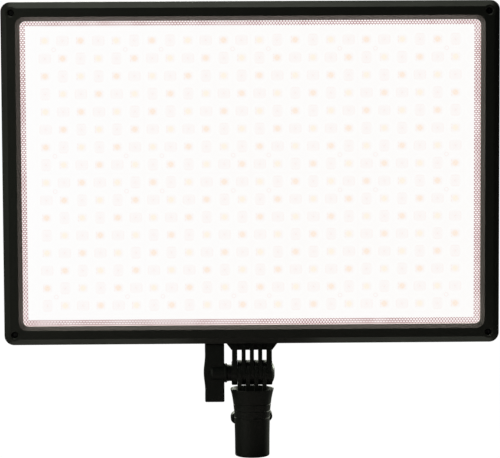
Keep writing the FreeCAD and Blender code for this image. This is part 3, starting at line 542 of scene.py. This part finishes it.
def prism_lattice(s, x, z):
    """Bright peaks on a grid of staggered rows, from 0 to 1."""
    lean = s.times(z, 2 * math.pi / PRISM_PITCH_Z)
    straight = s.times(x, 2 * math.pi / PRISM_PITCH_X)
    waves = s.plus(s.math("COSINE", s.minus(straight, lean)),
                   s.math("COSINE", s.plus(straight, lean)),
                   s.math("COSINE", s.times(lean, 2.0)))
    return s.ramp(waves, -1.5, 3.0, smooth=False)


def lying_chips(s, cell):
    """One where a cool chip lies, zero where it stands.  Each row starts at its own column."""
    turn = s.math("MODULO", cell.row, CHIP_TURNS)
    starts = [s.times(s.equals(turn, float(index)), first)
              for index, first in enumerate(FIRST_LYING_COLUMNS)]
    step = s.math("FLOOR", s.over(s.minus(cell.column, s.plus(*starts)), CHIP_TURNS))
    return s.minus(1.0, s.math("FLOORED_MODULO", step, 2.0))


def cool_chip_shade(s, cell, lattice):
    """Painted shade of a cool chip behind the sheet: a soft outline, with darker ends and a darker
    heart.
    """
    lying = lying_chips(s, cell)
    flat = s.rounded(cell.off_x, cell.off_z, LYING_OUTLINE, CHIP_CORNER, CHIP_SOFTNESS)
    flat = s.times(flat, lying)
    tall = s.rounded(cell.off_x, cell.off_z, STANDING_OUTLINE, CHIP_CORNER, CHIP_SOFTNESS)
    tall = s.times(tall, s.minus(1.0, lying))
    flat_ends = s.times(s.band(s.size(cell.off_x), LYING_END, CHIP_END_WIDTH), flat)
    tall_ends = s.times(s.band(s.size(cell.off_z), STANDING_END, CHIP_END_WIDTH), tall)
    heart = s.plus(s.times(s.ramp(cell.reach, CHIP_HEART, 0.0), 0.5),
                   s.ramp(cell.reach, CHIP_PIP_REACH, CHIP_PIP_CORE))
    painted_shade = s.plus(s.times(s.plus(flat, tall), CHIP_BODY_STRENGTH),
                   s.times(s.plus(flat_ends, tall_ends), CHIP_END_STRENGTH),
                   s.times(heart, CHIP_HEART_STRENGTH))
    return s.times(painted_shade, s.ramp(lattice, 0.0, 1.0, 1.25, 0.55, smooth=False))


def warm_package_shade(s, cell, lattice):
    """Painted shade of the package round a warm spot, darkest along its left and right edges."""
    package = s.rounded(cell.off_x, cell.off_z, PACKAGE_OUTLINE, PACKAGE_CORNER, PACKAGE_SOFTNESS)
    height = s.size(cell.off_z)
    left = s.times(s.band(cell.off_x, -PACKAGE_EDGE, PACKAGE_EDGE_WIDTH),
                   s.ramp(height, 3.0 * MM, 2.2 * MM))
    right = s.times(s.band(cell.off_x, PACKAGE_EDGE, PACKAGE_EDGE_WIDTH),
                    s.ramp(height, 2.6 * MM, 1.8 * MM))
    edges = s.plus(left, s.times(right, PACKAGE_RIGHT_STRENGTH))
    edges = s.times(edges, s.ramp(lattice, 0.1, 0.8, 1.5, 0.0))
    return s.plus(s.times(package, PACKAGE_STRENGTH), edges)


def board_screw_and_seam_shade(s, cell):
    """Painted shade of the screw heads and seams of the LED boards behind the sheet."""
    half_columns = BOARD_COLUMNS / 2
    half_rows = BOARD_ROWS / 2
    along = s.size(s.minus(s.math("MODULO", cell.across, float(BOARD_COLUMNS)), half_columns))
    up = s.size(s.minus(s.math("MODULO", cell.down, float(BOARD_ROWS)), half_rows))
    from_x = s.times(s.minus(along, half_columns - 1), SPOT_PITCH_X)
    from_z = s.times(s.minus(up, half_rows - 1), SPOT_PITCH_Z)
    ring = s.band(s.length(from_x, from_z), SCREW_RING_RADIUS, SCREW_RING_WIDTH)
    edge_x = s.times(s.minus(half_columns, along), SPOT_PITCH_X)
    edge_z = s.times(s.minus(half_rows, up), SPOT_PITCH_Z)
    seam = s.ramp(s.math("MINIMUM", edge_x, edge_z), SEAM_START, SEAM_END)
    return s.plus(s.times(ring, SCREW_RING_STRENGTH), s.times(seam, SEAM_STRENGTH))


def sheet_base(s, x, cell):
    """Near-white, warmer towards the right, with a painted ring of brighter light round each spot."""
    warmer = s.plus(s.ramp(x, WARMTH_START, WARMTH_END, 0.0, 0.7),
                    s.ramp(s.noise(60 * MM), 0.35, 0.65, 0.0, 0.3))
    base = s.blend(warmer, SHEET_WHITE, SHEET_WARM_WHITE)
    # Painted ring of brighter light round each spot
    halo = s.band(cell.reach, HALO_RADIUS, HALO_WIDTH)
    return s.blend(s.times(halo, HALO_STRENGTH), base, HALO_TONE)


def rosy_rim(s, x, z, tone, lattice):
    """Past the tray's walls the sheet gets less light, and its prisms show."""
    past_x = s.minus(s.size(s.minus(x, BRIGHT_SIDE)), BRIGHT_HALF_X)
    past_z = s.minus(s.size(s.minus(z, panel_centre.z + BRIGHT_RISE)), BRIGHT_HALF_Z)
    past = s.math("MAXIMUM", past_x, past_z)
    ragged = s.plus(past, s.ramp(lattice, 0.0, 1.0, 0.25 * MM, -0.45 * MM, smooth=False))
    rim = s.ramp(ragged, -0.2 * MM, 0.35 * MM)
    patches = s.ramp(s.noise(16 * MM), 0.35, 0.65, -0.10, 0.10)
    peak = s.plus(s.ramp(lattice, 0.08, 0.30), patches)
    prism = s.blend(peak, RIM_SHADE, RIM_PEAK)
    dusk = s.ramp(past, DUSK_START, DUSK_END, 0.0, 0.35)
    return s.blend(rim, tone, s.blend(dusk, prism, RIM_DUSK))


def sheet_tone(s, x, z):
    """What the eye sees: painted pools of light at the warm and peach spots, painted shade of the
    cool chips, packages, board screws and seams, a rosy rim and the prisms.
    """
    cell = Cell(s, x, z)
    lattice = prism_lattice(s, x, z)
    cool = s.equals(s.math("MODULO", cell.order, 2.0), 1.0)
    # Painted shade of the chips, packages, board screws and seams behind the sheet
    painted_shade = s.plus(s.times(cool_chip_shade(s, cell, lattice), cool),
                   s.times(warm_package_shade(s, cell, lattice), s.minus(1.0, cool)),
                   board_screw_and_seam_shade(s, cell))
    strength = s.times(painted_shade, s.times(cell.inside, PAINTED_SHADE_STRENGTH))
    tone = s.blend(strength, sheet_base(s, x, cell), PAINTED_SHADE_TONE)
    # Painted pools of light at the warm and peach spots
    ragged = s.plus(cell.reach, s.ramp(lattice, 0.0, 1.0, -0.25 * MM, 0.35 * MM, smooth=False))
    spot = s.ramp(ragged, SPOT_REACH, SPOT_CORE)
    glow = s.times(spot, cell.inside, s.ramp(lattice, 0.05, 0.45, 0.62, 1.08))
    tone = s.blend(s.times(glow, s.equals(cell.order, 0.0)), tone, WARM_SPOT_TONE)
    tone = s.blend(s.times(glow, s.equals(cell.order, 2.0)), tone, PEACH_SPOT_TONE)
    return rosy_rim(s, x, z, tone, lattice)


def prism_sheet():
    """The lit prism sheet.  It casts more light than the eye sees in it."""
    s = Shader("prism_sheet")
    x, z = s.across_and_up()
    seen = s.seen_by_camera()
    from_middle = s.size(s.minus(z, panel_centre.z))
    cast = s.ramp(from_middle, SHEET_GAIN_START, SHEET_GAIN_END,
                  SHEET_POWER, SHEET_EDGE_GAIN * SHEET_POWER)
    power = s.plus(seen, s.times(s.minus(1.0, seen), cast))
    tone = s.blend(seen, SHEET_LIGHT, sheet_tone(s, x, z))
    emission = s.add("Emission", {}, {"Color": tone, "Strength": power})
    s.tree.links.new(emission.outputs[0], s.output.inputs[0])
    return s.material


# ---------------------------------------------------------------- dressing the CAD nodes


def dress(material, *names):
    for name in names:
        node = frame["nodes"][name]
        for held in node.material_slots:
            held.material = material
        if not node.material_slots:
            node.data.materials.append(material)


def smooth_all():
    """Curved faces shade smoothly and real edges stay crisp."""
    for node in frame["nodes"].values():
        node.data.shade_smooth()
        node.data.set_sharp_from_angle(angle=math.radians(SMOOTH_ANGLE))


def soften(name, width):
    """A small round on every sharp edge of a CAD node."""
    node = frame["nodes"][name]
    weld = node.modifiers.new("weld", "WELD")
    weld.merge_threshold = WELD_REACH
    merge = node.modifiers.new("merge", "DECIMATE")
    merge.decimate_type = "DISSOLVE"
    merge.angle_limit = math.radians(FLAT_ANGLE)
    bevel = node.modifiers.new("round", "BEVEL")
    bevel.width = width
    bevel.segments = 2
    bevel.limit_method = "ANGLE"
    bevel.angle_limit = math.radians(EDGE_ANGLE)
    bevel.use_clamp_overlap = True
    settle = node.modifiers.new("settle", "WEIGHTED_NORMAL")
    settle.keep_sharp = True
    settle.weight = 100


def dress_housing():
    housing = satin_plastic("housing_black", (0.0180, 0.0195, 0.0160), 0.52,
                            grain=0.35 * MM, depth=0.007 * MM, coat=0.25)
    cover = satin_plastic("cover_black", (0.0200, 0.0205, 0.0180), 0.52,
                          grain=0.35 * MM, depth=0.012 * MM)
    knuckle = satin_plastic("knuckle_black", (0.0085, 0.0105, 0.0085), 0.46,
                            grain=0.25 * MM, depth=0.012 * MM)
    handle = satin_plastic("handle_black", (0.0070, 0.0098, 0.0080), 0.50,
                           grain=0.25 * MM, depth=0.012 * MM)
    dress(housing, "front_bezel")
    dress(cover, "rear_cover")
    dress(knuckle, "stand_adapter", "tilt_bracket")
    dress(handle, "tilt_knob", "lock_knob")


def dress_controls():
    knob = satin_plastic("knob_black", (0.0100, 0.0100, 0.0105), 0.45,
                         grain=0.2 * MM, depth=0.01 * MM, wear=0.8)
    fascia = satin_plastic("fascia_black", (0.0070, 0.0070, 0.0075), 0.38,
                           grain=0.2 * MM, depth=0.008 * MM)
    button = satin_plastic("button_grey", (0.075, 0.077, 0.080), 0.50,
                           grain=0.2 * MM, depth=0.01 * MM)
    switch = gloss_plastic("switch_black", (0.012, 0.012, 0.012), 0.30)
    dress(knob, "brightness_knob", "color_temp_knob")
    dress(fascia, "control_fascia", "battery_plate_left", "battery_plate_right")
    dress(button, "mode_button", "group_button", "channel_button")
    dress(button, "battery_latch_left", "battery_latch_right")
    dress(gloss_plastic("rocker_black", (0.010, 0.010, 0.010)), "power_rocker")
    dress(switch, "power_switch_body", "dc_jack", "tact_switches")
    dress(smoked_window(), "display_window")
    dress(display_glass(), "display_module")


def dress_metals():
    steel = metal("steel_plated", (0.62, 0.62, 0.63), 0.28)
    black_steel = metal("steel_black", (0.045, 0.045, 0.048), 0.38)
    brass = metal("brass_plain", (0.72, 0.52, 0.24), 0.30)
    gold = metal("contact_gold", (0.83, 0.62, 0.26), 0.22, brush=(1.0, 1.0, 0.2))
    plate = metal("aluminium_mill", (0.78, 0.78, 0.79), 0.38, brush=(0.15, 1.0, 1.0), stain=0.10)
    can = metal("can_aluminium", (0.72, 0.72, 0.74), 0.30, brush=(1.0, 0.2, 1.0), stain=0.08)
    dress(steel, "bracket_screws", "led_board_screws", "back_plate_screws", "lock_screw")
    dress(steel, "control_board_screws", "brightness_encoder", "color_temp_encoder")
    dress(steel, "brightness_shaft", "color_temp_shaft", "latch_spring_left", "latch_spring_right")
    dress(metal("bolt_dark", (0.075, 0.08, 0.078), 0.22), "tilt_bolt")
    dress(black_steel, "tilt_washer", "bezel_screws", "battery_plate_screws")
    dress(brass, "tilt_knob_insert", "lock_nut_insert", "lock_pad")
    dress(gold, "battery_contacts")
    dress(plate, "back_plate")
    dress(can, "board_capacitors")


def dress_electronics():
    boards = (LED_COLUMNS // BOARD_COLUMNS) * (LED_ROWS // BOARD_ROWS)
    dress(led_board_mask(), *["led_board_%d" % (index + 1) for index in range(boards)])
    dress(green_board(), "control_board")
    dress(gloss_plastic("ferrite", (0.045, 0.045, 0.050), 0.45), "board_inductors")
    dress(phosphor("chip_cool", (0.85, 0.82, 0.45), (0.90, 0.95, 1.0)), "cool_leds")
    dress(phosphor("chip_warm", (0.88, 0.72, 0.25), (1.0, 0.88, 0.55)), "warm_leds")
    dress(phosphor("chip_amber", (0.88, 0.55, 0.20), (1.0, 0.66, 0.40)), "amber_leds")
    dress(reflector_white(), "reflector_frame")
    dress(prism_sheet(), "prism_diffuser")
    dress(sleeve("wire_white", (0.72, 0.72, 0.70)), "led_cable")
    dress(sleeve("wire_red", (0.42, 0.03, 0.02)), "battery_leads")


# ---------------------------------------------------------------- printed marks, display and springs


def brick(shape, centre, size, turn=None):
    """Adds a box to a bmesh.  Turn is a rotation matrix about the box's middle."""
    matrix = Matrix.Translation(centre)
    if turn is not None:
        matrix = matrix @ turn
    bmesh.ops.create_cube(shape, size=1.0, matrix=matrix @ Matrix.Diagonal((*size, 1.0)))


def disc(shape, centre, radius):
    """Adds a thin disc that faces the back of the lamp."""
    turn = Matrix.Rotation(math.radians(90.0), 4, "X")
    bmesh.ops.create_cone(shape, cap_ends=True, segments=24, radius1=radius, radius2=radius,
                          depth=INK, matrix=Matrix.Translation(centre) @ turn)


def piece(name, shape, material, body):
    """Turns a bmesh into a visual piece that moves with a CAD body."""
    mesh = bpy.data.meshes.new(name)
    shape.to_mesh(mesh)
    shape.free()
    mesh.materials.append(material)
    made = bpy.data.objects.new(name, mesh)
    bpy.context.scene.collection.objects.link(made)
    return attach(made, body)


def digit(shape, sign, centre):
    """Seven-segment digit, read from behind the lamp, so its right is towards -X."""
    half_w = DIGIT_WIDTH / 2
    half_h = DIGIT_HEIGHT / 2
    level = (DIGIT_WIDTH - STROKE, INK, STROKE)
    upright = (STROKE, INK, half_h - STROKE)
    places = {
        "a": (0.0, half_h, level),
        "g": (0.0, 0.0, level),
        "d": (0.0, -half_h, level),
        "b": (-half_w, half_h / 2, upright),
        "c": (-half_w, -half_h / 2, upright),
        "f": (half_w, half_h / 2, upright),
        "e": (half_w, -half_h / 2, upright),
    }
    for segment in SEGMENTS[sign]:
        across, up, size = places[segment]
        brick(shape, centre + Vector((across, 0.0, up)), size)


def display_digits(ink):
    """Two readouts, and a row of bars that grow."""
    low, high = lows_and_highs("display_module")
    centre = (low + high) / 2
    centre.y = high.y - GLASS_INSET + INK
    shape = bmesh.new()
    for text, rise, start in READOUTS:
        for index, sign in enumerate(reversed(text)):
            digit(shape, sign, centre + Vector((start + index * DIGIT_STEP, 0.0, rise)))
    for index in range(BARS):
        tall = BAR_SHORTEST + BAR_GROWTH * index
        place = centre + Vector((BAR_SIDE - BAR_STEP * index, 0.0, BAR_FOOT + tall / 2))
        brick(shape, place, (BAR_WIDTH, INK, tall))
    piece("display_digits", shape, ink, "lamp_head")


def dial_ticks(shape):
    """Ticks round each knob, long at the ends and in the middle."""
    for name in ("brightness_knob", "color_temp_knob"):
        centre = middle_of(name)
        centre.y = fascia_face + INK / 2
        for index in range(TICKS):
            angle = math.radians(TICK_SWEEP * (index / (TICKS - 1) - 0.5))
            tall = TICK_LONG if index % (TICKS // 2) == 0 else TICK_SHORT
            reach = TICK_START + tall / 2
            place = centre + Vector((reach * math.sin(angle), 0.0, reach * math.cos(angle)))
            brick(shape, place, (TICK_WIDTH, INK, tall), Matrix.Rotation(angle, 4, "Y"))


def button_dots(shape):
    """One, two and three dots above the buttons."""
    for name, dots in (("mode_button", 1), ("group_button", 2), ("channel_button", 3)):
        centre = middle_of(name)
        centre.y = fascia_face + INK / 2
        for index in range(dots):
            across = (index - (dots - 1) / 2) * DOT_STEP
            disc(shape, centre + Vector((across, 0.0, DOT_RISE)), DOT_RADIUS)


def fascia_print(ink):
    shape = bmesh.new()
    dial_ticks(shape)
    button_dots(shape)
    piece("fascia_print", shape, ink, "lamp_head")


def knob_pointers(ink):
    for name in ("brightness_knob", "color_temp_knob"):
        low, high = lows_and_highs(name)
        place = (low + high) / 2
        place.y = high.y - POINTER_DEPTH
        place.z += POINTER_RISE
        shape = bmesh.new()
        brick(shape, place, POINTER_SIZE)
        piece(name + "_pointer", shape, ink, name)


def rocker_signs(ink):
    """A line on the upper half of the rocker and a ring on the lower half."""
    pivot = middle_of("power_switch_body")
    pivot.y = fascia_face - ROCKER_PIVOT_DEPTH
    tilt = Matrix.Rotation(math.radians(ROCKER_TILT), 4, "X")
    shape = bmesh.new()
    upper = pivot + tilt @ Vector((0.0, ROCKER_SIGN_HEIGHT, ROCKER_SIGN_REACH))
    brick(shape, upper, LINE_SIGN, tilt @ Matrix.Rotation(-ROCKER_SLOPE, 4, "X"))
    lower = pivot + tilt @ Vector((0.0, ROCKER_SIGN_HEIGHT, -ROCKER_SIGN_REACH))
    turn = tilt @ Matrix.Rotation(ROCKER_SLOPE, 4, "X")
    for index in range(RING_PIECES):
        angle = 2 * math.pi * index / RING_PIECES
        arm = turn @ Vector((RING_RADIUS * math.sin(angle), 0.0, RING_RADIUS * math.cos(angle)))
        brick(shape, lower + arm, RING_PIECE, turn @ Matrix.Rotation(angle, 4, "Y"))
    piece("rocker_signs", shape, ink, "power_rocker")


def coil_ring(shape, centre, angle, rise):
    """A ring of points round the wire, at one place along the coil."""
    out = Vector((math.cos(angle), math.sin(angle), 0.0))
    ring = []
    for side in range(COIL_SIDES):
        roll = 2 * math.pi * side / COIL_SIDES
        reach = COIL_RADIUS + COIL_WIRE * math.cos(roll)
        place = Vector((centre.x, centre.y, rise + COIL_WIRE * math.sin(roll))) + out * reach
        ring.append(shape.verts.new(place))
    return ring


def coil(low, high):
    """A closed helical wire that takes up the height of a box."""
    centre = (low + high) / 2
    climb = high.z - low.z - 2 * COIL_WIRE
    steps = COIL_TURNS * COIL_STEPS
    shape = bmesh.new()
    rings = []
    for index in range(steps + 1):
        rise = low.z + COIL_WIRE + climb * index / steps
        rings.append(coil_ring(shape, centre, 2 * math.pi * index / COIL_STEPS, rise))
    for first, second in zip(rings, rings[1:]):
        for side in range(COIL_SIDES):
            after = (side + 1) % COIL_SIDES
            shape.faces.new((first[side], first[after], second[after], second[side]))
    shape.faces.new(reversed(rings[0]))
    shape.faces.new(rings[-1])
    bmesh.ops.recalc_face_normals(shape, faces=shape.faces)
    return shape


def latch_springs(steel):
    """Coils in the boxes of the latch springs, fixed to the lamp head, in place of their CAD nodes.
    """
    for side in ("left", "right"):
        name = "latch_spring_" + side
        low, high = lows_and_highs(name)
        made = piece("spring_coil_" + side, coil(low, high), steel, "lamp_head")
        made.data.shade_smooth()
        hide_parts(name)
        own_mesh(made)


def details():
    white_ink = paint("ink_white", (0.62, 0.62, 0.60))
    display_digits(glowing("display_glow", (0.62, 0.85, 0.95), 1.6))
    fascia_print(white_ink)
    knob_pointers(paint("pointer_white", (0.72, 0.72, 0.70)))
    rocker_signs(white_ink)
    latch_springs(metal("spring_wire", (0.60, 0.60, 0.62), 0.25))


# ---------------------------------------------------------------- stage, light and camera


def floor_material():
    """Pale floor.  To the eye it is near white, with the object's shadow faintly in it."""
    s = Shader("floor_pale")
    mottled = s.blend(s.noise(0.4), (0.12, 0.12, 0.12), (0.11, 0.11, 0.11))
    matt = s.add("BsdfDiffuse", {}, {"Color": mottled})
    glow = s.add("Emission", {}, {"Color": (1.0, 1.0, 1.0), "Strength": FLOOR_GLOW})
    mix = s.add("MixShader", {}, {"Fac": s.times(s.seen_by_camera(), FLOOR_GLOW_SHARE)})
    s.tree.links.new(matt.outputs[0], mix.inputs[1])
    s.tree.links.new(glow.outputs[0], mix.inputs[2])
    s.tree.links.new(mix.outputs[0], s.output.inputs[0])
    return s.material


def floor():
    mesh = bpy.data.meshes.new("floor")
    shape = bmesh.new()
    bmesh.ops.create_circle(shape, cap_ends=True, radius=FLOOR_RADIUS, segments=96)
    shape.to_mesh(mesh)
    shape.free()
    ground = bpy.data.objects.new("floor", mesh)
    ground.location.z = cad_low.z - FLOOR_GAP
    bpy.context.scene.collection.objects.link(ground)
    mesh.materials.append(floor_material())


def world():
    """White behind the object for the eye, and a dim studio for everything else."""
    made = bpy.data.worlds.new("studio")
    made.use_nodes = True
    tree = made.node_tree
    background = tree.nodes["Background"]
    seen = tree.nodes.new("ShaderNodeLightPath").outputs["Is Camera Ray"]
    power = tree.nodes.new("ShaderNodeMapRange")
    tree.links.new(seen, power.inputs["Value"])
    power.inputs["To Min"].default_value = WORLD_GLOW
    power.inputs["To Max"].default_value = 1.0
    tree.links.new(power.outputs[0], background.inputs["Strength"])
    background.inputs["Color"].default_value = (1.0, 1.0, 1.0, 1.0)
    bpy.context.scene.world = made


def soft_light(name, offset, width, height, watts, spread=180.0, aim=None):
    """A soft panel at an offset from the middle of the lamp, facing it unless it has its own aim."""
    light = bpy.data.lights.new(name, "AREA")
    light.shape = "RECTANGLE"
    light.size = width
    light.size_y = height
    light.energy = watts
    light.color = STUDIO_TINT
    light.spread = math.radians(spread)
    lamp = bpy.data.objects.new(name, light)
    lamp.location = panel_centre + Vector(offset)
    facing = Vector(aim) if aim else -Vector(offset)
    lamp.rotation_euler = facing.to_track_quat("-Z", "Y").to_euler()
    lamp.visible_camera = False
    bpy.context.scene.collection.objects.link(lamp)


def lights():
    soft_light("key", (-0.55, -0.45, 0.10), width=0.5, height=0.5, watts=0.85)
    soft_light("overhead", (0.05, -0.10, 0.95), width=0.9, height=0.4, watts=3.1)
    soft_light("side_left", (-0.95, -0.15, 0.0), width=0.5, height=0.5, watts=0.12)
    for name, side in (("low_left", -0.13), ("low_right", 0.13)):
        soft_light(name, (side, -0.03, -0.205), width=0.16, height=0.03, watts=0.0045,
                   spread=80.0, aim=(0.0, 0.0, 1.0))
    soft_light("behind_left", (-0.45, 1.4, 0.75), width=0.9, height=0.9, watts=26.0)
    soft_light("behind_right", (0.85, 1.0, 0.30), width=0.6, height=0.9, watts=14.0)


def camera():
    data = bpy.data.cameras.new("camera")
    data.lens = CAMERA_LENS
    data.sensor_width = SENSOR_WIDTH
    data.clip_end = CAMERA_REACH
    eye = bpy.data.objects.new("camera", data)
    place = Vector((CAMERA_SIDE, -CAMERA_BACK, panel_centre.z + CAMERA_RISE))
    turn = Matrix.Rotation(math.radians(CAMERA_YAW), 4, "Z")
    turn = turn @ Matrix.Rotation(math.radians(90.0 + CAMERA_PITCH), 4, "X")
    turn = turn @ Matrix.Rotation(math.radians(-CAMERA_ROLL), 4, "Z")
    eye.matrix_world = Matrix.Translation(place) @ turn
    bpy.context.scene.collection.objects.link(eye)
    bpy.context.scene.camera = eye


smooth_all()
dress_housing()
dress_controls()
dress_metals()
dress_electronics()
soften("front_bezel", BEZEL_ROUND)
details()
floor()
world()
lights()
camera()
bpy.context.scene.view_settings.view_transform = "Standard"
